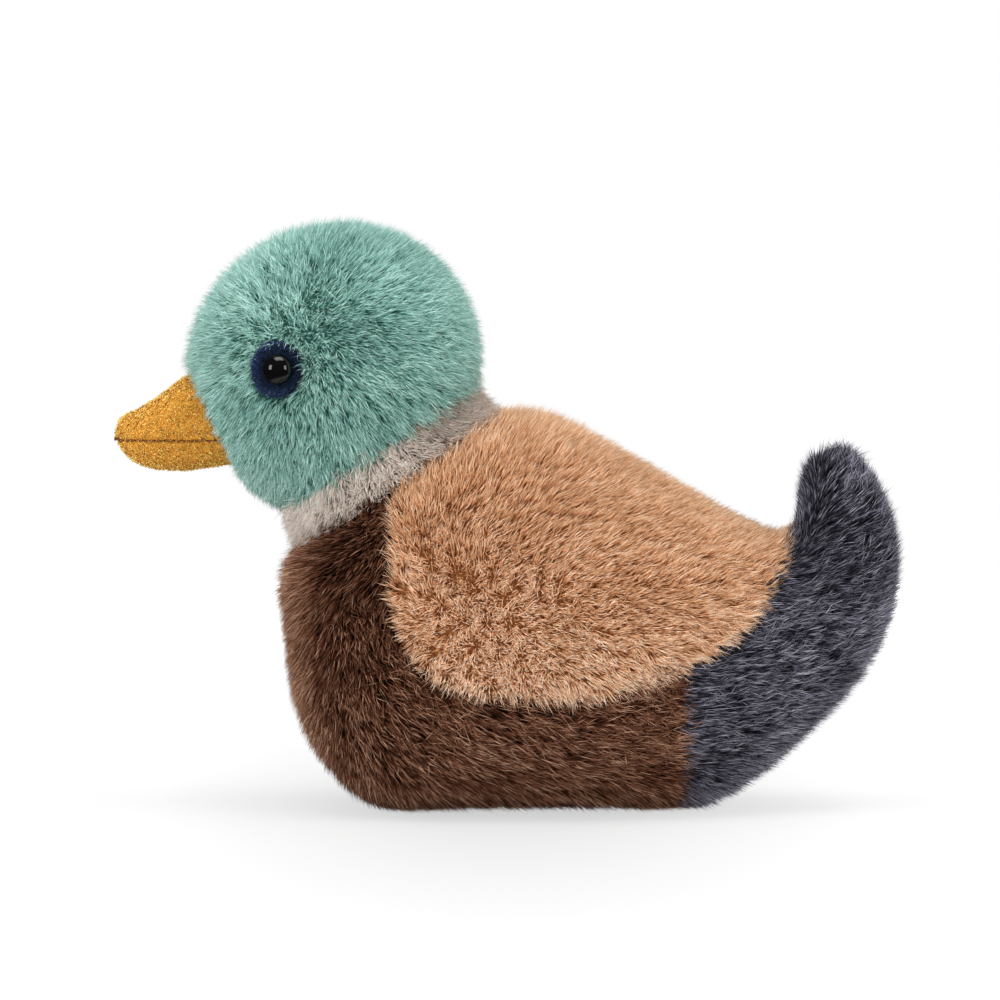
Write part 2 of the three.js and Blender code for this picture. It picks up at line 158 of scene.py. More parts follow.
# Painted shadow: the glow is lowest round the duck's foot, and reaches further towards and away from the
# camera than along the duck
painted_table_shadow = mapped(net, around, painted_shadow_start, painted_shadow_end, glow_in_painted_shadow, glow_high)
distant = mapped(net, far, edge_start, edge_end, 0, edge_glow)
lit = mapped(net, far, gloss_start, gloss_end, gloss_near, gloss_far)
brightness = add_node(net, "Math", {0: painted_table_shadow, 1: distant}, operation="ADD").outputs[0]
lift = add_node(net, "Emission", {"Strength": brightness})
grey = add_node(net, "BsdfDiffuse", {"Color": (shadowed_grey, shadowed_grey, shadowed_grey, 1)})
shown = add_node(net, "AddShader", {0: grey.outputs[0], 1: lift.outputs[0]})
seen = add_node(net, "LightPath", {})
bounced = add_node(net, "Mix", {"Factor": seen.outputs["Is Glossy Ray"], "A": paint_white, "B": lit})
white = add_node(net, "BsdfDiffuse", {"Color": bounced.outputs["Result"]})
either = {"Fac": seen.outputs["Is Camera Ray"], 1: white.outputs[0], 2: shown.outputs[0]}
pick = add_node(net, "MixShader", either)
feed(net, net.nodes["Material Output"], {"Surface": pick.outputs[0]})
table.data.materials.append(paint)
table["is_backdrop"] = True

lens = bpy.data.cameras.new("camera")
lens.sensor_width = film_width
lens.lens = film_width * camera_distance / picture_width
lens.clip_start = 0.05
camera = bpy.data.objects.new("camera", lens)
bpy.context.scene.collection.objects.link(camera)
camera.location = aim + camera_distance * Vector((0, -math.cos(camera_rise), math.sin(camera_rise)))
camera.rotation_euler = (aim - camera.location).to_track_quat("-Z", "Y").to_euler()
bpy.context.scene.camera = camera
bpy.context.scene.view_settings.view_transform = "Standard"

# Stuffed form.
# Under the pile, the panels are one closed skin over the filling. It is joined from the CAD solids
# and rounded, and each panel's backing and pile is then laid on it where that panel lies.
PANELS = [
    "head_panel_left", "head_panel_right", "neck_band", "breast_panel_left", "breast_panel_right",
    "base_panel", "wing_panel_left", "wing_panel_right", "tail_panel_left", "tail_panel_right",
]
FILLED = ["head_stuffing", "body_stuffing", "tail_stuffing", "pellet_pouch_upper",
          "pellet_pouch_lower", "pellets", "eye_washer_left", "eye_washer_right"]
FITTED = ["beak_upper", "beak_lower", "beak_stuffing", "eye_backing_left", "eye_backing_right"]
form_voxel = 1.1 * MM
seam_fill = 0.3 * MM
form_rounding = 10
doubles_apart = 0.002 * MM
sink = 2.7 * MM
sink_share = 0.3
ray_start = 0.05 * MM


def joined_copy(name, nodes):
    """A new object with copies of these CAD nodes' meshes, their doubles merged."""
    bpy.ops.object.select_all(action="DESELECT")
    for node in nodes:
        twin = bpy.data.objects.new(name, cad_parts[node].data.copy())
        twin.data.materials.clear()
        bpy.context.collection.objects.link(twin)
        twin.select_set(True)
    bpy.context.view_layer.objects.active = twin
    bpy.ops.object.join()
    bpy.ops.object.mode_set(mode="EDIT")
    bpy.ops.mesh.select_all(action="SELECT")
    bpy.ops.mesh.remove_doubles(threshold=doubles_apart)
    bpy.ops.object.mode_set(mode="OBJECT")
    twin.name = name
    return twin


def apply(obj, kind, **settings):
    """Adds a modifier with these settings and applies it."""
    bpy.ops.object.select_all(action="DESELECT")
    obj.select_set(True)
    bpy.context.view_layer.objects.active = obj
    modifier = obj.modifiers.new(kind.lower(), kind)
    for key, value in settings.items():
        setattr(modifier, key, value)
    bpy.ops.object.modifier_apply(modifier=modifier.name)


def keep_largest(obj):
    """Drops all but the largest loose part of a mesh."""
    bpy.ops.object.select_all(action="DESELECT")
    obj.select_set(True)
    bpy.context.view_layer.objects.active = obj
    bpy.ops.object.mode_set(mode="EDIT")
    bpy.ops.mesh.select_all(action="SELECT")
    bpy.ops.mesh.separate(type="LOOSE")
    bpy.ops.object.mode_set(mode="OBJECT")
    parts = sorted(bpy.context.selected_objects, key=lambda part: len(part.data.vertices))
    for part in parts[:-1]:
        bpy.data.objects.remove(part)
    return parts[-1]


def vectors_of(items, field):
    """One vector of each of a mesh's vertices or normals, as rows."""
    values = np.zeros(len(items) * 3, np.float32)
    items.foreach_get(field, values)
    return values.reshape(-1, 3).astype(float)


def points_of(mesh):
    return vectors_of(mesh.vertices, "co")


def normals_of(mesh):
    return vectors_of(mesh.vertex_normals, "vector")


def triangles_of(mesh):
    mesh.calc_loop_triangles()
    corners = np.zeros(len(mesh.loop_triangles) * 3, np.int32)
    mesh.loop_triangles.foreach_get("vertices", corners)
    return corners.reshape(-1, 3)


form = joined_copy("stuffed_form", PANELS + FILLED + FITTED)
apply(form, "DISPLACE", strength=seam_fill, mid_level=0)
apply(form, "REMESH", mode="VOXEL", voxel_size=form_voxel)
form = keep_largest(form)
apply(form, "SMOOTH", factor=0.5, iterations=form_rounding)
form_points = points_of(form.data)
form_normals = normals_of(form.data)
form_triangles = triangles_of(form.data)
form_tree = BVHTree.FromObject(form, bpy.context.evaluated_depsgraph_get())

# How far the backing lies under the surface: the pile's depth, and less where the form is thin
backing_depth = np.full(len(form_points), sink)
for index, (point, normal) in enumerate(zip(form_points, form_normals)):
    place, _, _, thickness = form_tree.ray_cast(Vector(point - normal * ray_start), Vector(-normal))
    if place is not None:
        backing_depth[index] = min(sink, sink_share * thickness)

# Which CAD node each place on the form belongs to
label_names = PANELS + FITTED
label_points, label_faces, label_owner = [], [], []
for owner, node in enumerate(label_names):
    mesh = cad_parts[node].data
    first = len(label_points)
    label_points.extend(points_of(mesh).tolist())
    corners = triangles_of(mesh) + first
    label_faces.extend(corners.tolist())
    label_owner.extend([owner] * len(corners))
label_tree = BVHTree.FromPolygons(label_points, label_faces)


def owners_of(points):
    """The CAD node nearest to each point, as an index in label_names."""
    return np.array([label_owner[label_tree.find_nearest(Vector(point))[2]] for point in points])


form_owners = owners_of(form_points)
bpy.data.objects.remove(form)


# Plush panels.
# Each is a knitted backing with a dense pile of fine fibres, sheared to one length and brushed.
# The fibres gather in small tufts, stand up where the brushing starts and lie down along its way.
fibre_width = 0.135 * MM
fibre_bow = 0.7
widest_share = 0.55
tuft_spacing = 0.24 * MM
guard_share = 0.18
guard_length = 1.3
guard_width = 0.85
cover_share = 0.62
clipped_share = 0.4
broad_sway = 0.7
broad_length = 9 * MM
fine_sway = 1.4
fine_length = 2.4 * MM
fine_waves = 40
tuft_drift = 0.4
guard_drift = 0.6
tuft_lying = 0.08
fibre_lying = 0.2
least_lying = 0.05
most_lying = 1.4
shortest = 0.6
tuft_lengths = 0.03
usual_length = 0.8
reach_spread = 0.15
width_spread = 0.25
middle_tone = 0.45
darkest_tone = 0.05
palest_tone = 0.97
painted_depth_shade = 0.4
fibre_tones = 0.32
tuft_tones = 0.06
patch_tones = 0.05
patch_length = 12 * MM
backing_thickness = 0.7 * MM
floor_rest = 0.12 * MM
tone_spread = 0.004


def waves(points, length, seed, count=14):
    """Smooth noise, mostly from -1 to 1, in three channels, with features about this long."""
    dice = np.random.default_rng(seed)
    way = dice.normal(size=(count, 3))
    way /= np.linalg.norm(way, axis=1)[:, None]
    rate = 2 * math.pi / (length * dice.uniform(0.7, 1.5, count))
    phase = dice.uniform(0, 2 * math.pi, (3, count))
    turn = (points @ way.T) * rate
    return np.stack([np.sin(turn + phase[axis]).sum(1) for axis in range(3)], 1) / math.sqrt(count)


def unit(vectors):
    return vectors / np.maximum(np.linalg.norm(vectors, axis=1), 1e-9)[:, None]


def backing_of(name, owner):
    """The panel's backing, as a thin closed shell under the form's surface."""
    own = (form_owners[form_triangles] == owner).sum(1) >= 2
    faces = form_triangles[own]
    used, faces = np.unique(faces, return_inverse=True)
    points = form_points[used] - form_normals[used] * backing_depth[used][:, None]
    points[:, 2] = np.maximum(points[:, 2], 2 * floor_rest)
    mesh = bpy.data.meshes.new(name)
    mesh.from_pydata(points.tolist(), [], faces.reshape(-1, 3).tolist())
    shell = bpy.data.objects.new(name, mesh)
    bpy.context.collection.objects.link(shell)
    apply(shell, "SOLIDIFY", thickness=backing_thickness, offset=-1)
    return shell


def scattered(points, normals, faces, density, dice):
    """Random places on these faces, so many to the square metre: for each, its face, the shares of
    that face's corners, its point and its normal."""
    corners = points[faces]
    crosses = np.cross(corners[:, 1] - corners[:, 0], corners[:, 2] - corners[:, 0])
    areas = np.linalg.norm(crosses, axis=1) / 2
    count = int(areas.sum() * density)
    pick = dice.choice(len(faces), count, p=areas / areas.sum())
    flat = np.sqrt(dice.uniform(size=count))
    side = dice.uniform(size=count)
    shares = np.stack([1 - flat, flat * (1 - side), flat * side], 1)[:, :, None]
    return pick, shares, (corners[pick] * shares).sum(1), unit((normals[faces[pick]] * shares).sum(1))


def tree_of(spots):
    tree = KDTree(len(spots))
    for index, spot in enumerate(spots):
        tree.insert(spot, index)
    tree.balance()
    return tree


def tufts_of(spots):
    """Evenly spread seeds among these places, and the nearest seed to each place."""
    crowd = tree_of(spots)
    taken = np.zeros(len(spots), bool)
    seeds = []
    for index, spot in enumerate(spots):
        if not taken[index]:
            seeds.append(index)
            taken[[near[1] for near in crowd.find_range(spot, tuft_spacing)]] = True
    seeds = np.array(seeds)
    tree = tree_of(spots[seeds])
    return seeds, np.array([tree.find(Vector(spot))[1] for spot in spots])


def grow_pile(name, owner, comb, height, reach, density, seed, shade=None, jitter=0.3, tufting=0.12):
    """One plush panel: its backing with fibres on it. comb gives each fibre's way, how far it lies
    down along it from 0 to 1, and its height's share. height and reach are the tip's, above and
    beside the root. A fibre that would hang over the seam from inside it is clipped short."""
    dice = np.random.default_rng(seed)

    def covered(points, outs):
        """The panel that lies under the middle of a fibre with its root here."""
        way, lying, _ = comb(points, outs)
        way = unit(way - outs * (way * outs).sum(1)[:, None])
        return owners_of(points + way * (reach * lying * cover_share)[:, None])

    own = (covered(form_points, form_normals)[form_triangles] == owner).any(1)
    own &= (form_owners[form_triangles] < len(PANELS)).any(1)
    own |= (form_owners[form_triangles] == owner).any(1)
    faces = form_triangles[own]
    pick, weights, spots, out = scattered(form_points, form_normals, faces, density, dice)
    root_owner = owners_of(spots)
    over = covered(spots, out) == owner
    kept = (over & (root_owner < len(PANELS))) | (root_owner == owner)
    spots, out, pick, weights, over = spots[kept], out[kept], pick[kept], weights[kept], over[kept]
    count = len(spots)
    depth = (backing_depth[faces[pick]] * weights[:, :, 0]).sum(1)
    roots = spots - out * depth[:, None]

    # The fibres of a small tuft share a way and a tone and lean together. The longer guard fibres
    # stand clear of it, and are paler because all taller fibres are painted lighter.
    seeds, tuft = tufts_of(spots)
    tufts = len(seeds)
    guard = dice.uniform(size=count) < guard_share
    way, lying, tallness = comb(spots, out)
    sway = broad_sway * waves(spots, broad_length, seed + 1)
    sway += fine_sway * waves(spots, fine_length, seed + 2, fine_waves)
    way = way + jitter * sway
    drift = tuft_drift * dice.normal(size=(tufts, 3))[tuft] + dice.normal(size=(count, 3))
    way += jitter * np.where(guard, guard_drift, 1)[:, None] * drift
    way = unit(way - out * (way * out).sum(1)[:, None])
    lying = lying + dice.normal(0, tuft_lying, tufts)[tuft] + dice.normal(0, fibre_lying, count)
    lying = np.clip(lying, least_lying, most_lying)
    share = dice.uniform(shortest, 1.0, count) + dice.normal(0, tuft_lengths, tufts)[tuft]
    share = np.where(guard, dice.uniform(1.0, guard_length, count), share)
    # Taller fibres are lighter and shorter ones darker: painted shade for the pile's depth, where short
    # fibres lie in the shade of tall ones
    tone = middle_tone + (share - usual_length) * painted_depth_shade
    tone += dice.uniform(-fibre_tones, fibre_tones, count)
    tone += dice.uniform(-tuft_tones, tuft_tones, tufts)[tuft]
    tone += patch_tones * waves(spots, patch_length, seed + 3)[:, 0]
    share = np.where(over, 1, dice.uniform(clipped_share, 1, count)) * share
    tall = (depth / sink) * height * tallness * share * (1.08 - 0.1 * lying)
    far = reach * lying * share * dice.uniform(1 - reach_spread, 1 + reach_spread, count)
    tips = roots + out * tall[:, None] + way * far[:, None]

    # A tuft's tips draw together over its middle
    pull = dice.uniform(0.3 * tufting, tufting, tufts)[tuft]
    pull = np.where(guard, 0, pull)[:, None]
    middle = spots[seeds][tuft]
    together = tips[seeds][tuft] - middle + (spots + 2 * middle) / 3
    tips = tips * (1 - pull) + together * pull

    # The pile under the duck is pressed flat
    for layer in (roots, tips):
        layer[:, 2] = np.maximum(layer[:, 2], floor_rest * dice.uniform(1, 5, count))

    # shade adds the panel's painted light and shade to the tones
    if shade is not None:
        tone += shade(spots)
    tone = np.clip(tone, darkest_tone, palest_tone)
    bend = out * far[:, None] - way * tall[:, None]
    width = fibre_width * dice.uniform(1 - width_spread, 1 + width_spread, count)
    width = width * np.where(guard, guard_width, 1)
    # A shorter fibre's tip stops lower on the root-to-tip colours, so it is darker: painted shade of the
    # deeper pile
    level = np.clip((share - 0.1) / 0.9, 0, 0.95)
    return pile_mesh(backing_of(name, owner), roots, tips, bend, width, tone, level)


def pile_mesh(shell, roots, tips, bend, width, tone, level):
    """Adds the fibres to the backing. Each is a slim closed blade: root, two edges and tip."""
    count = len(roots)
    axis = unit(tips - roots)
    bend = unit(bend - axis * (bend * axis).sum(1)[:, None])
    side = np.cross(axis, bend)
    widest = roots + (tips - roots) * widest_share + bend * width[:, None] * fibre_bow
    side = side * width[:, None] / 2
    points = np.stack([roots, widest - side, widest + side, tips], 1).reshape(-1, 3)
    pattern = np.array([[0, 2, 1], [1, 2, 3], [0, 3, 2], [0, 1, 3]])
    faces = (np.arange(count)[:, None, None] * 4 + pattern).reshape(-1, 3)

    base = shell.data
    base_points = points_of(base)
    base_faces = triangles_of(base)
    all_points = np.concatenate([base_points, points])
    all_faces = np.concatenate([base_faces, faces + len(base_points)])

    # The map gives each fibre its tone across, and root to tip upwards. The backing has the colour of
    # a dark fibre's root, and so the same painted shade as the deep pile.
    across = tone[:, None] + np.array([0, -tone_spread, tone_spread, 0])
    upward = level[:, None] * np.array([0.0, widest_share, widest_share, 1.0])
    fibre_map = np.stack([across, upward], 2).reshape(-1, 2)[faces.reshape(-1)]
    length, depth, rise = base_points.T
    cloth_map = np.stack([0.04 + 0.2 * (length + 0.3 * depth), 0.01 + 0.2 * (rise + 0.3 * abs(depth))], 1)
    uv = np.concatenate([cloth_map[base_faces.reshape(-1)], fibre_map])

    mesh = bpy.data.meshes.new(shell.name)
    mesh.vertices.add(len(all_points))
    mesh.vertices.foreach_set("co", all_points.astype(np.float32).reshape(-1))
    mesh.loops.add(all_faces.size)
    mesh.loops.foreach_set("vertex_index", all_faces.reshape(-1).astype(np.int32))
    mesh.polygons.add(len(all_faces))
    mesh.polygons.foreach_set("loop_start", np.arange(0, all_faces.size, 3, dtype=np.int32))
    mesh.polygons.foreach_set("use_smooth", np.ones(len(all_faces), bool))
    layer = mesh.uv_layers.new(name="OFBake")
    layer.uv.foreach_set("vector", uv.astype(np.float32).reshape(-1))
    mesh.update(calc_edges=True)
    shell.data = mesh
    return shell


COLOUR = "NodeSocketColor"
NUMBER = "NodeSocketFloat"
tone_shift = 0.6
root_end = 0.22
middle_start = 0.62
stray_start = 0.72
stray_end = 0.97


def new_group(name, inputs, outputs):
    """A node group with these sockets, what it is given, and the node that takes its results."""
    group = bpy.data.node_groups.new(name, "ShaderNodeTree")
    for in_out, sockets in (("INPUT", inputs), ("OUTPUT", outputs)):
        for label, kind in sockets.items():
            group.interface.new_socket(name=label, in_out=in_out, socket_type=kind)
    return group, group.nodes.new("NodeGroupInput").outputs, group.nodes.new("NodeGroupOutput")


def mixed(net, factor, first, second):
    """Two colours blended by this factor."""
    return add_node(net, "Mix", {"Factor": factor, 6: first, 7: second}, data_type="RGBA").outputs[2]


def fibre_tone_group():
    """A fibre's colour from its place on the pile's map: root to tip, and its own tone. The darker
    root is painted shade, standing for the shade deep in the pile. A light fibre is paler from
    further down as well as brighter."""
    inputs = {"Root": COLOUR, "Middle": COLOUR, "Tip": COLOUR, "Stray": COLOUR,
              "Darkest": NUMBER, "Lightest": NUMBER}
    group, given, result = new_group("fibre_tone", inputs, {"Color": COLOUR})
    place = add_node(group, "UVMap", {}, uv_map="OFBake").outputs["UV"]
    split = add_node(group, "SeparateXYZ", {0: place}).outputs
    shifted = {0: split["X"], 1: tone_shift, 2: split["Y"]}
    along = add_node(group, "Math", shifted, operation="MULTIPLY_ADD").outputs[0]
    half = tone_shift / 2
    grown = mapped(group, along, root_end + half, middle_start + half)
    body = mixed(group, grown, given["Root"], given["Middle"])
    body = mixed(group, mapped(group, along, middle_start + half, 1.0 + half), body, given["Tip"])
    body = mixed(group, mapped(group, split["X"], stray_start, stray_end), body, given["Stray"])
    level = mapped(group, split["X"], 0.1, 0.9, given["Darkest"], given["Lightest"])
    scaled = add_node(group, "VectorMath", {0: body, "Scale": level}, operation="SCALE")
    feed(group, result, {"Color": scaled.outputs["Vector"]})
    return group


fibre_tone = fibre_tone_group()


def new_material(name):
    """A material, its node tree and its Principled shader."""
    material = bpy.data.materials.new(name)
    material.use_nodes = True
    return material, material.node_tree, material.node_tree.nodes["Principled BSDF"]


def pile_material(name, root, middle, tip, stray, darkest=0.6, lightest=1.3, sheen=0.06):
    material, net, shader = new_material(name)
    tone = net.nodes.new("ShaderNodeGroup")
    tone.node_tree = fibre_tone
    feed(net, tone, {"Root": (*root, 1), "Middle": (*middle, 1), "Tip": (*tip, 1), "Stray": (*stray, 1),
                     "Darkest": darkest, "Lightest": lightest})
    feed(net, shader, {"Base Color": tone.outputs["Color"], "Roughness": 0.75, "Specular IOR Level": 0.15,
                       "Sheen Weight": sheen, "Sheen Tint": (*stray, 1), "Sheen Roughness": 0.5})
    return material


def finish_plush(piece, node, material):
    piece.data.materials.append(material)
    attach(piece, "root")
    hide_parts(node)


SIDES = ("left", "right")

# Head.
# Two panels of teal plush, brushed back from the face. The pile parts round the felt of the eyes
# and hangs over the root of the beak and the neck band.
teal = pile_material("teal_pile", (0.20, 0.55, 0.455), (0.335, 0.63, 0.55), (0.51, 0.77, 0.70),
                     (0.60, 0.83, 0.77), darkest=0.55, lightest=1.4)
face = np.array([-40.4, 0, 85.3]) * MM
face_width = 16 * MM
lying_length = 70 * MM
parting_width = 8 * MM
parting_push = 1.3
trim_width = 4 * MM
crown_height = 84 * MM
crown_depth = 10 * MM
eye_boxes = [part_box(f"eye_backing_{side}") for side in SIDES]
eye_places = [np.array((low + high) / 2) for low, high in eye_boxes]
beak_shape = joined_copy("beak_shape", ["beak_upper", "beak_lower"])
beak_tree = BVHTree.FromObject(beak_shape, bpy.context.evaluated_depsgraph_get())
bpy.data.objects.remove(beak_shape)


def comb_head(spots, outs):
    away = (spots - face) * [1, 0, 1]
    far = np.linalg.norm(away, axis=1)
    way = unit(away) * (np.clip(far / face_width, 0, 1) ** 1.3)[:, None]
    way[:, 2] -= 0.2 * np.clip(far / face_width, 0, 1)
    for place in eye_places:
        apart = spots - place
        near = np.clip(1 - np.linalg.norm(apart, axis=1) / parting_width, 0, 1)
        way += unit(apart) * (parting_push * near)[:, None]
    clear = np.array([beak_tree.find_nearest(Vector(spot))[3] for spot in spots])
    trim = 0.3 + 0.7 * np.clip(clear / trim_width, 0, 1)
    under = np.clip(-outs[:, 2], 0, 1)
    return way, np.clip(0.68 + far / lying_length, 0, 0.93) * trim, trim * (1 - 0.3 * under)


# Painted light and shade: lighter round the face, where the pile stands up and its shaded depth shows, and
# darker on the crown, which the overhead light makes bright
def shade_head(spots):
    far = np.linalg.norm((spots - face) * [1, 0, 1], axis=1)
    crown = np.clip((spots[:, 2] - crown_height) / crown_depth, 0, 1)
    return 0.03 + 0.14 * np.clip(1 - far / face_width, 0, 1) - 0.12 * crown


for number, side in enumerate(SIDES):
    head = grow_pile(f"head_plush_{side}", PANELS.index(f"head_panel_{side}"), comb_head,
                     height=3.2 * MM, reach=2.1 * MM, density=17e6, seed=100 + number, shade=shade_head)
    finish_plush(head, f"head_panel_{side}", teal)

# Beak.
# Two pieces of mustard velour over a firm filling, joined by a level seam along the sides whose
# brown thread shows as pricks. The cloth's short pile gives it a fine grain and a soft edge.
seam_height = (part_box("beak_upper")[0].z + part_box("beak_lower")[1].z) / 2
velour_voxel = 0.32 * MM
velour_gap = 0.12 * MM
nap_height = 0.55 * MM
nap_width = 0.21 * MM
nap_density = 10e6
nap_root = 0.05 * MM
nap_sway_length = 2.5 * MM
nap_sway = 0.5
nap_slant = 0.45
nap_tone_length = 0.8 * MM
stitch_step = 1.15 * MM
stitch_length = 0.5 * MM
stitch_thickness = 0.42 * MM
stitch_proud = 0.36 * MM
stitch_jog = 0.14 * MM
stitch_lean = 0.45


def speckle_group():
    """Two colours mixed in fine grains, and broader patches that are lighter or darker."""
    inputs = {"Dark": COLOUR, "Light": COLOUR, "Grain": NUMBER, "Patch": NUMBER, "Patch Strength": NUMBER}
    group, given, result = new_group("speckle", inputs, {"Color": COLOUR, "Height": NUMBER})
    here = add_node(group, "TexCoord", {}).outputs["Object"]
    grain = add_node(group, "TexNoise", {"Vector": here, "Scale": given["Grain"], "Detail": 4,
                                         "Roughness": 0.7})
    patch = add_node(group, "TexNoise", {"Vector": here, "Scale": given["Patch"], "Detail": 2})
    sharp = mapped(group, grain.outputs["Fac"], 0.38, 0.62)
    blend = mixed(group, sharp, given["Dark"], given["Light"])
    shift = add_node(group, "Math", {0: patch.outputs["Fac"], 1: 0.5}, operation="SUBTRACT")
    strength = {0: shift.outputs[0], 1: given["Patch Strength"], 2: 1.0}
    level = add_node(group, "Math", strength, operation="MULTIPLY_ADD").outputs[0]
    scaled = add_node(group, "VectorMath", {0: blend, "Scale": level}, operation="SCALE")
    feed(group, result, {"Color": scaled.outputs["Vector"], "Height": sharp})
    return group


speckle = speckle_group()


def cloth_material(name, dark, light, grain, patch, patch_strength, bump, roughness=0.9, sheen=0.2):
    """A material whose colour and bump come from the speckle group. Sizes are in metres."""
    material, net, shader = new_material(name)
    spots = net.nodes.new("ShaderNodeGroup")
    spots.node_tree = speckle
    feed(net, spots, {"Dark": (*dark, 1), "Light": (*light, 1), "Grain": 1 / grain, "Patch": 1 / patch,
                      "Patch Strength": patch_strength})
    relief = add_node(net, "Bump", {"Distance": bump, "Height": spots.outputs["Height"]})
    feed(net, shader, {"Base Color": spots.outputs["Color"], "Normal": relief.outputs["Normal"],
                       "Roughness": roughness, "Specular IOR Level": 0.2, "Sheen Weight": sheen,
                       "Sheen Tint": (*light, 1)})
    return material


def short_pile(name, cloth, height, width, density, seed, outer=None, shade=None):
    """A piece of short fibres standing all over a cloth, at random slants. outer picks the faces
    that have them."""
    dice = np.random.default_rng(seed)
    mesh = cloth.data
    points, normals, faces = points_of(mesh), normals_of(mesh), triangles_of(mesh)
    if outer is not None:
        faces = faces[outer(points[faces].mean(1), normals[faces].mean(1))]
    _, _, spots, out = scattered(points, normals, faces, density, dice)
    count = len(spots)
    lean = waves(spots, nap_sway_length, seed + 1) * nap_sway + dice.normal(0, nap_slant, (count, 3))
    share = dice.uniform(0.6, 1.25, count)
    roots = spots - out * nap_root
    tips = roots + unit(out + lean) * (height * share)[:, None]
    tone = dice.uniform(0.24, 0.76, count) + 0.2 * waves(spots, nap_tone_length, seed + 2)[:, 0]
    if shade is not None:
        tone += shade(spots)
    tone = np.clip(tone, 0.05, 0.85)
    bend = np.cross(tips - roots, dice.normal(size=(count, 3)))
    empty = bpy.data.objects.new(name, bpy.data.meshes.new(name))
    bpy.context.collection.objects.link(empty)
    widths = width * dice.uniform(0.8, 1.2, count)
    # A shorter fibre's tip stops lower on the root-to-tip colours: painted shade of the deeper nap
    return pile_mesh(empty, roots, tips, bend, widths, tone, np.clip(share, 0, 1))


def join_all(parts, name):
    """Joins these objects into one, and shades it smooth."""
    bpy.ops.object.select_all(action="DESELECT")
    for part in parts:
        part.select_set(True)
    bpy.context.view_layer.objects.active = parts[0]
    bpy.ops.object.join()
    bpy.ops.object.shade_smooth()
    parts[0].name = name
    return parts[0]


def copied(model, name, place):
    """A copy of this model with a mesh of its own, put in its place."""
    twin = bpy.data.objects.new(name, model.data.copy())
    bpy.context.collection.objects.link(twin)
    twin.data.transform(place)
    return twin


velour = cloth_material("mustard_velour", (0.64, 0.20, 0.015), (1.0, 0.56, 0.090), 0.35 * MM, 5 * MM, 0.3,
                        0.08 * MM)
velour_pile = pile_material("mustard_pile", (0.66, 0.19, 0.006), (1.0, 0.665, 0.135), (1.0, 0.74, 0.25),
                            (1.0, 0.76, 0.28), darkest=0.6, lightest=1.4)
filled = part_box("beak_stuffing")
heart = np.array((filled[0] + filled[1]) / 2)
beak_halves = []
for number, half in enumerate(("upper", "lower")):
    cloth = joined_copy(f"beak_{half}_cloth", [f"beak_{half}"])
    apply(cloth, "DISPLACE", strength=velour_gap, mid_level=0)
    apply(cloth, "REMESH", mode="VOXEL", voxel_size=velour_voxel)
    apply(cloth, "SMOOTH", factor=0.5, iterations=4)
    bpy.ops.object.shade_smooth()
    cloth.data.materials.append(velour)
    beak_halves.append(cloth)
    fuzz = short_pile(f"beak_{half}_pile", cloth, nap_height, nap_width, nap_density, 600 + number,
                      outer=lambda spots, ways: ((spots - heart) * ways).sum(1) > 0)
    fuzz.data.materials.append(velour_pile)
    for piece in (cloth, fuzz):
        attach(piece, "root")
        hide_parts(f"beak_{half}")

# The seam's thread: one stitch, copied at uneven steps along the seam, which rays from outside find
seam_tree = BVHTree.FromObject(beak_halves[0], bpy.context.evaluated_depsgraph_get())
inside = Vector((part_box("beak_upper")[0].x + 9 * MM, 0, seam_height + 0.35 * MM))
outside = 40 * MM
rim = []
for turn in np.radians(np.arange(40, 320.1, 0.5)):
    way = Vector((math.cos(turn), math.sin(turn), 0))
    spot = seam_tree.ray_cast(inside + way * outside, -way)[0]
    if spot is not None:
        rim.append(Vector((spot.x, spot.y, seam_height)))
bpy.ops.object.select_all(action="DESELECT")
bpy.ops.mesh.primitive_cylinder_add(vertices=8, radius=stitch_thickness / 2, depth=stitch_length)
stitch = bpy.context.object
bpy.ops.object.mode_set(mode="EDIT")
bpy.ops.mesh.select_all(action="SELECT")
bpy.ops.mesh.bevel(offset=stitch_thickness * 0.3, segments=2)
bpy.ops.object.mode_set(mode="OBJECT")
stitches, walked = [], 0.0
dice = np.random.default_rng(640)
for before, after in zip(rim, rim[1:]):
    walked += (after - before).length
    if walked < stitch_step:
        continue
    walked = dice.uniform(-0.25, 0.35) * stitch_step
    along = (after - before).normalized()
    out = along.cross(Vector((0, 0, 1)))
    lean = (Vector((0, 0, 1)) + along * stitch_lean).normalized()
    spot = after + out * stitch_proud + Vector((0, 0, dice.uniform(-1, 1) * stitch_jog))
    turn = lean.to_track_quat("Z", "Y").to_matrix().to_4x4()
    stitches.append(copied(stitch, "stitch", Matrix.Translation(spot) @ turn))
bpy.data.objects.remove(stitch)
thread = join_all(stitches, "beak_stitches")
thread.data.materials.append(cloth_material("brown_thread", (0.24, 0.070, 0.015), (0.48, 0.18, 0.050),
                                            0.12 * MM, 3 * MM, 0.3, 0.03 * MM, roughness=0.7))
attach(thread, "root")

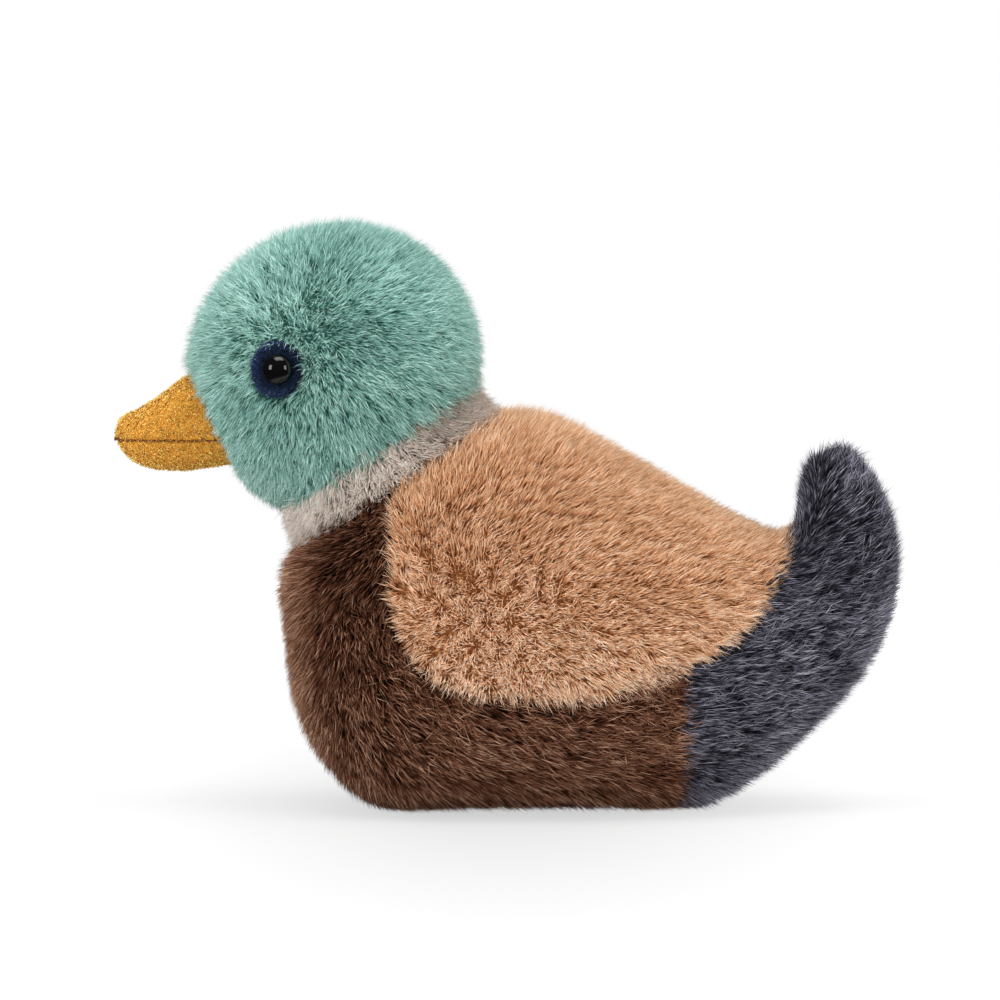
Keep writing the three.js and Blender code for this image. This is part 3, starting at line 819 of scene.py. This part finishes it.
# Eyes.
# Each is a black bead with a ridged shank, pushed through an oval of navy felt and held inside by
# a pressed-on washer. The felt's cut edge is a little frayed.
eye_radius = 2.5 * MM
eye_dome = 1.9 * MM
eye_foot = 0.9 * MM
eye_sink = 0.8 * MM
eye_forward = 0.3 * MM
shank_radius = 0.95 * MM
shank_length = 8.8 * MM
ridge_start = 2.2 * MM
ridge_step = 1.6 * MM
ridge_radius = 0.2 * MM
eye_turn = math.radians(2)
frayed_height = 0.32 * MM
frayed_width = 0.13 * MM
frayed_density = 30e6
felt_shadow = 1.1 * MM
felt_colour = cloth_material("navy_felt_cloth", (0.006, 0.012, 0.035), (0.022, 0.040, 0.085), 0.5 * MM,
                             2 * MM, 0.5, 0.1 * MM)
felt_pile = pile_material("navy_felt_pile", (0.004, 0.010, 0.040), (0.036, 0.072, 0.235), (0.15, 0.24, 0.48),
                          (0.20, 0.26, 0.36), darkest=0.26, lightest=1.95)
washer_white = cloth_material("white_washer", (0.74, 0.74, 0.72), (0.84, 0.84, 0.82), 1.5 * MM, 6 * MM, 0.1,
                              0.01 * MM, roughness=0.45, sheen=0)

# The bead's gloss is on its face. Its edge, turned to the surrounding pile, mirrors little.
bead_black, net, shader = new_material("black_bead")
here = add_node(net, "TexCoord", {}).outputs["Object"]
haze = add_node(net, "TexNoise", {"Vector": here, "Scale": 900, "Detail": 3}).outputs["Fac"]
tint = mixed(net, haze, (0.0015, 0.0015, 0.002, 1), (0.004, 0.0035, 0.004, 1))
facing = add_node(net, "LayerWeight", {}).outputs["Facing"]
feed(net, shader, {"Base Color": tint, "Roughness": mapped(net, haze, 0, 1, 0.02, 0.09),
                   "Specular IOR Level": 0.0, "Coat Weight": mapped(net, facing, 0.25, 0.7, 1.0, 0.03),
                   "Coat Roughness": 0.02, "Coat IOR": 1.6})

for number, (side, sign) in enumerate(zip(SIDES, (-1, 1))):
    look = Vector((-math.sin(eye_turn), sign * math.cos(eye_turn), 0))
    felt_middle = Vector(eye_places[number])
    foot = felt_middle + look * eye_sink + Vector((eye_forward, 0, 0))
    place = Matrix.Translation(foot) @ look.to_track_quat("Z", "Y").to_matrix().to_4x4()

    bpy.ops.object.select_all(action="DESELECT")
    bpy.ops.mesh.primitive_uv_sphere_add(segments=48, ring_count=32, radius=eye_radius)
    bead = bpy.context.object
    bead.name = f"eye_bead_{side}"
    bpy.ops.object.mode_set(mode="EDIT")
    for upper, depth in ((True, eye_dome), (False, eye_foot)):
        bpy.ops.mesh.select_all(action="DESELECT")
        bpy.ops.object.mode_set(mode="OBJECT")
        for vertex in bead.data.vertices:
            vertex.select = (vertex.co.z > 0.01 * MM) == upper and abs(vertex.co.z) > 0.01 * MM
        bpy.ops.object.mode_set(mode="EDIT")
        bpy.ops.transform.resize(value=(1, 1, depth / eye_radius), center_override=(0, 0, 0))
    bpy.ops.mesh.select_all(action="SELECT")
    bpy.ops.transform.translate(value=(0, 0, eye_foot))
    bpy.ops.mesh.primitive_cylinder_add(vertices=32, radius=shank_radius, depth=shank_length,
                                        location=(0, 0, eye_foot / 2 - shank_length / 2))
    for ridge in range(4):
        depth = ridge_start + ridge_step * ridge
        bpy.ops.mesh.primitive_torus_add(major_radius=shank_radius, minor_radius=ridge_radius,
                                         major_segments=32, minor_segments=8, location=(0, 0, -depth))
    bpy.ops.object.mode_set(mode="OBJECT")
    bead.data.transform(place)
    bpy.ops.object.shade_smooth_by_angle(angle=math.radians(40))
    bead.data.materials.append(bead_black)
    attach(bead, "root")
    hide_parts(f"eye_{side}")

    felt = joined_copy(f"eye_felt_{side}", [f"eye_backing_{side}"])
    apply(felt, "REMESH", mode="VOXEL", voxel_size=0.22 * MM)
    apply(felt, "SMOOTH", factor=0.5, iterations=3)
    bpy.ops.object.shade_smooth()
    felt.data.materials.append(felt_colour)
    shown_side = np.array(felt_middle + look * 0.1 * MM)

    def outer_felt(spots, ways):
        return (spots - shown_side) @ np.array(look) > 0

    def shade_felt(spots):
        """Darkest round the bead, which keeps the light off it."""
        apart = np.linalg.norm(spots - np.array(foot), axis=1) - eye_radius
        return -0.45 * np.clip(1.5 - apart / felt_shadow, 0, 1)

    frayed = short_pile(f"eye_felt_pile_{side}", felt, frayed_height, frayed_width, frayed_density,
                        700 + number, outer=outer_felt, shade=shade_felt)
    frayed.data.materials.append(felt_pile)
    for piece in (felt, frayed):
        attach(piece, "root")
        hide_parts(f"eye_backing_{side}")

    # The washer inside the head: a flat ring with eased edges
    washer = joined_copy(f"eye_lock_{side}", [f"eye_washer_{side}"])
    apply(washer, "BEVEL", width=0.18 * MM, segments=3, angle_limit=math.radians(50))
    bpy.ops.object.shade_smooth_by_angle(angle=math.radians(40))
    washer.data.materials.append(washer_white)
    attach(washer, "root")
    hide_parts(f"eye_washer_{side}")

# Neck band.
# A strip of short oatmeal plush, sewn between the head and the body, with its pile brushed down.
oat = pile_material("oat_pile", (0.58, 0.45, 0.35), (0.90, 0.77, 0.67), (0.97, 0.88, 0.80),
                    (0.99, 0.93, 0.86), darkest=0.68, lightest=1.3)
band_way = (0.54, 0, -0.84)
nape_height = 59 * MM
nape_depth = 10 * MM


def comb_band(spots, outs):
    return np.tile(band_way, (len(spots), 1)), np.ones(len(spots)), np.ones(len(spots))


# Painted shade: darker high on the band, under the head's overhang
def shade_band(spots):
    return 0.08 - 0.6 * np.clip((spots[:, 2] - nape_height) / nape_depth, 0, 1)


band = grow_pile("neck_band_plush", PANELS.index("neck_band"), comb_band, height=3.4 * MM,
                 reach=2.0 * MM, density=30e6, seed=200, shade=shade_band, jitter=0.5)
finish_plush(band, "neck_band", oat)

# Breast and base.
# Dark brown plush: two panels that wrap the breast and the flanks, and an oval base. The pile is
# brushed down the breast and back along the belly.
brown = pile_material("brown_pile", (0.028, 0.004, 0.0007), (0.158, 0.049, 0.0195), (0.40, 0.21, 0.130),
                      (0.50, 0.32, 0.22), darkest=0.28, lightest=1.95, sheen=0.03)
belly_height = 6 * MM
belly_depth = 36 * MM
flank_length = 30 * MM
flank_start = -24 * MM
floor_depth = 5 * MM
front_start = -22 * MM
front_depth = 8 * MM
throat_height = 43 * MM
throat_depth = 9 * MM
toe_height = 14 * MM
rim_start = -30 * MM
rim_depth = 6 * MM
chest_height = 20 * MM
chest_depth = 14 * MM


def comb_breast(spots, outs):
    low = np.clip(1 - (spots[:, 2] - belly_height) / belly_depth, 0, 1)
    back = np.clip(spots[:, 0] / flank_length, 0, 1)
    way = np.stack([0.1 + 1.1 * low, 0 * low, -1.0 + 0.9 * low + 0.25 * low * back], 1)
    flat = 0.2 + 0.8 * np.clip((spots[:, 0] - flank_start) / flank_length, 0, 1)
    near_floor = np.clip(spots[:, 2] / floor_depth, 0.88, 1)
    front = np.clip((front_start - spots[:, 0]) / front_depth, 0, 1)
    throat = front * np.clip(1 - np.abs(spots[:, 2] - throat_height) / throat_depth, 0, 1)
    toe = front * np.clip(1 - spots[:, 2] / toe_height, 0, 1)
    return way - flat[:, None] * outs * [1, 0, 1], near_floor, near_floor + 0.4 * throat - 0.3 * toe


# Painted light at the front rim, which the light catches at its edge; higher up the breast it is darker
def shade_breast(spots):
    rim = np.clip((rim_start - spots[:, 0]) / rim_depth, 0, 1)
    high = np.clip((spots[:, 2] - chest_height) / chest_depth, 0, 1)
    return 0.04 * rim - 0.14 * high * (1 - rim)


for number, side in enumerate(SIDES):
    breast = grow_pile(f"breast_plush_{side}", PANELS.index(f"breast_panel_{side}"), comb_breast,
                       height=2.9 * MM, reach=3.3 * MM, density=14e6, seed=300 + number,
                       shade=shade_breast, jitter=0.24)
    finish_plush(breast, f"breast_panel_{side}", brown)
base = grow_pile("base_plush", PANELS.index("base_panel"), comb_breast, height=2.7 * MM,
                 reach=3.0 * MM, density=5e6, seed=310)
finish_plush(base, "base_panel", brown)

# Wings.
# Two panels of caramel plush that meet along the back. The pile stands up in a whorl low at the
# front, where its darker depth shows, and lies back from there to the tail and down over the seam.
caramel = pile_material("caramel_pile", (0.72, 0.275, 0.088), (0.90, 0.485, 0.245), (0.97, 0.69, 0.48),
                        (0.99, 0.77, 0.58))
whorl = np.array([-5, 0, 37]) * MM
whorl_width = 20 * MM
whorl_painted_light = 16 * MM
wing_rise = 18 * MM
wing_lying = 80 * MM
wing_shade_rise = 24 * MM
nape_place = (1 * MM, 52 * MM)
nape_size = (10 * MM, 8 * MM)


def comb_wing(spots, outs):
    away = (spots - whorl) * [1, 0, 1]
    far = np.linalg.norm(away, axis=1)
    way = unit(away) * (np.clip(far / whorl_width, 0, 1) ** 1.3)[:, None]
    way[:, 0] += np.clip(away[:, 2] / wing_rise, 0, 0.8)
    nape = np.clip(1.6 - np.abs(spots[:, 0] - nape_place[0]) / nape_size[0], 0, 1)
    nape *= np.clip((spots[:, 2] - nape_place[1]) / nape_size[1], 0, 1)
    return way, np.clip(0.65 + far / wing_lying, 0, 1), 1 + 0.3 * nape


# Painted light and shade: lighter low on the wing, which faces down away from the overhead light, and round
# the whorl, where the pile's shaded depth shows; darker higher up, where the overhead light falls
def shade_wing(spots):
    up = (spots[:, 2] - whorl[2]) / wing_shade_rise
    pale = np.clip(1 - np.linalg.norm((spots - whorl) * [1, 0, 1], axis=1) / whorl_painted_light, 0, 1)
    return 0.02 + 0.3 * np.clip(-1.5 * up, 0, 1) - 0.10 * np.clip(up, 0, 1) + 0.14 * pale


for number, side in enumerate(SIDES):
    wing = grow_pile(f"wing_plush_{side}", PANELS.index(f"wing_panel_{side}"), comb_wing,
                     height=2.8 * MM, reach=2.0 * MM, density=16.5e6, seed=400 + number, shade=shade_wing)
    finish_plush(wing, f"wing_panel_{side}", caramel)

# Tail.
# Two panels of slate plush, seamed along their middle, brushed back and up to the tip.
slate = pile_material("slate_pile", (0.0040, 0.0035, 0.008), (0.058, 0.056, 0.084), (0.38, 0.37, 0.44),
                      (0.48, 0.47, 0.53), darkest=0.3, lightest=1.85, sheen=0.03)
tail_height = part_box("tail_panel_left")[1].z


def comb_tail(spots, outs):
    climb = np.radians(82 * np.clip(spots[:, 2] / tail_height, 0, 1) ** 2.6 - 4)
    way = np.stack([np.cos(climb), 0 * climb, np.sin(climb)], 1)
    under = np.clip(-1.6 * outs[:, 2], 0, 1)
    return way - 0.9 * outs * [1, 0, 1], np.ones(len(spots)), 1 + 0.25 * under


# Painted shade: darker over the upper half, where the overhead light falls, on a tone a little darker all
# over
def shade_tail(spots):
    return -0.07 - 0.22 * np.clip(spots[:, 2] / tail_height - 0.5, 0, 1)


for number, side in enumerate(SIDES):
    tail = grow_pile(f"tail_plush_{side}", PANELS.index(f"tail_panel_{side}"), comb_tail,
                     height=2.7 * MM, reach=2.8 * MM, density=16e6, seed=500 + number,
                     shade=shade_tail, jitter=0.14)
    finish_plush(tail, f"tail_panel_{side}", slate)

# Filling.
# Handfuls of white polyester fibre, pushed into the head, the body, the tail and the beak.
filling_white = cloth_material("white_filling_fibre", (0.62, 0.62, 0.60), (0.86, 0.86, 0.84), 1.2 * MM,
                               9 * MM, 0.25, 0.5 * MM)
lump_size = 6 * MM
lump_height = 1.2 * MM
wad_voxels = {"head": 1.6 * MM, "body": 1.6 * MM, "tail": 1.6 * MM, "beak": 0.9 * MM}
for part, voxel in wad_voxels.items():
    wad = joined_copy(f"{part}_filling", [f"{part}_stuffing"])
    apply(wad, "REMESH", mode="VOXEL", voxel_size=voxel)
    cloud = bpy.data.textures.new(f"{part}_lumps", "CLOUDS")
    cloud.noise_scale = lump_size
    cloud.noise_depth = 2
    apply(wad, "SMOOTH", factor=0.5, iterations=4)
    apply(wad, "DISPLACE", texture=cloud, texture_coords="LOCAL", strength=lump_height, mid_level=0.75)
    bpy.ops.object.shade_smooth()
    wad.data.materials.append(filling_white)
    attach(wad, "root")
    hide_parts(f"{part}_stuffing")

# Bag of pellets.
# Two ovals of cotton seamed round their edge, half full of plastic pellets that weigh the base.
cotton = cloth_material("pouch_cotton_cloth", (0.58, 0.54, 0.46), (0.76, 0.73, 0.66), 0.5 * MM, 8 * MM,
                        0.2, 0.1 * MM)
for half in ("upper", "lower"):
    oval = joined_copy(f"pellet_bag_{half}", [f"pellet_pouch_{half}"])
    apply(oval, "REMESH", mode="VOXEL", voxel_size=0.6 * MM)
    apply(oval, "SMOOTH", factor=0.5, iterations=3)
    bpy.ops.object.shade_smooth()
    oval.data.materials.append(cotton)
    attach(oval, "root")
    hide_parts(f"pellet_pouch_{half}")

# The pellets lie in layers, each a little squashed and turned its own way
pellet_radius = 1.55 * MM
pellet_room = 1.03
pellet_squash = Matrix.Diagonal((1, 1, 0.8, 1))
bag = joined_copy("bag_room", ["pellets"])
bag_tree = BVHTree.FromObject(bag, bpy.context.evaluated_depsgraph_get())
low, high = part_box("pellets")
bag_middle = (low + high) / 2
bpy.data.objects.remove(bag)
bpy.ops.object.select_all(action="DESELECT")
bpy.ops.mesh.primitive_ico_sphere_add(subdivisions=2, radius=pellet_radius)
pellet = bpy.context.object
step = 2 * pellet_radius * pellet_room
dice = np.random.default_rng(800)
pellets = []
for layer in (-1, 0, 1):
    for row in range(-8, 9):
        for place in range(-8, 9):
            across = place + (row % 2) / 2 + (layer % 2) / 2
            along = (row + (layer % 2) / 3) * math.sqrt(0.75)
            spot = bag_middle + step * Vector((across, along, layer * math.sqrt(2 / 3)))
            near, facing, _, distance = bag_tree.find_nearest(spot)
            if (spot - near).dot(facing) > 0 or distance < pellet_radius:
                continue
            turn = Matrix.Rotation(dice.uniform(0, math.pi), 4, Vector(dice.normal(size=3)))
            pellets.append(copied(pellet, "pellet", Matrix.Translation(spot) @ turn @ pellet_squash))
bpy.data.objects.remove(pellet)
pellets = join_all(pellets, "bag_pellets")
plastic = cloth_material("white_pellet_plastic", (0.72, 0.72, 0.70), (0.84, 0.84, 0.82), 1.5 * MM,
                         10 * MM, 0.1, 0.02 * MM, roughness=0.4, sheen=0)
pellets.data.materials.append(plastic)
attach(pellets, "root")
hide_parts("pellets")

corners = {"cad": cad_corners, "visual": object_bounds()}
